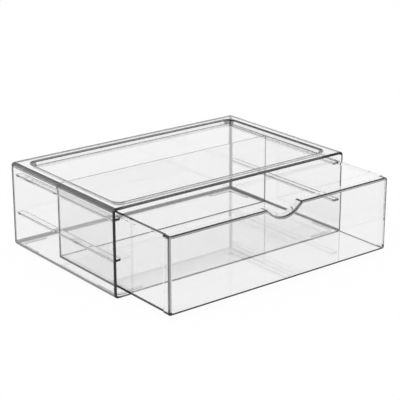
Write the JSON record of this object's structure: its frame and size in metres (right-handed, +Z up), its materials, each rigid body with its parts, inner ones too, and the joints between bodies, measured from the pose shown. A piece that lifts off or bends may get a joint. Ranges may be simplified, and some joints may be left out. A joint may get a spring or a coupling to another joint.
{
  "type": "stackable drawer box",
  "caption": "Low clear plastic box with a pull-out drawer, a finger notch in its front and a raised rim and feet for stacking.",
  "frame": {"origin": "middle of the whole footprint, in the plane of the feet's undersides, with the drawer where it rests, partly open", "axes": "+Z up, the drawer opens towards -Y, +X to the right seen from the front"},
  "size_m": [0.305, 0.2698, 0.0957],
  "materials": {
    "clear_casing": "clear, glossy, as moulded",
    "clear_runner": "clear, glossy",
    "clear_foot": "clear, slightly soft",
    "clear_drawer": "clear, glossy, as moulded"
  },
  "bodies": {
    "casing": {"casing_body": "clear_casing", "top_panel": "clear_casing", "upper_runner_left": "clear_runner", "upper_runner_right": "clear_runner", "middle_runner_left": "clear_runner", "middle_runner_right": "clear_runner", "foot_front_left": "clear_foot", "foot_front_right": "clear_foot", "foot_back_left": "clear_foot", "foot_back_right": "clear_foot"},
    "drawer": {"drawer_tray": "clear_drawer", "drawer_front": "clear_drawer"}
  },
  "joints": [
    {"name": "drawer_slide", "type": "slide", "parent": "casing", "child": "drawer", "axis": [0, -1, 0], "range_m": [-0.0695, 0.05]}
  ]
}
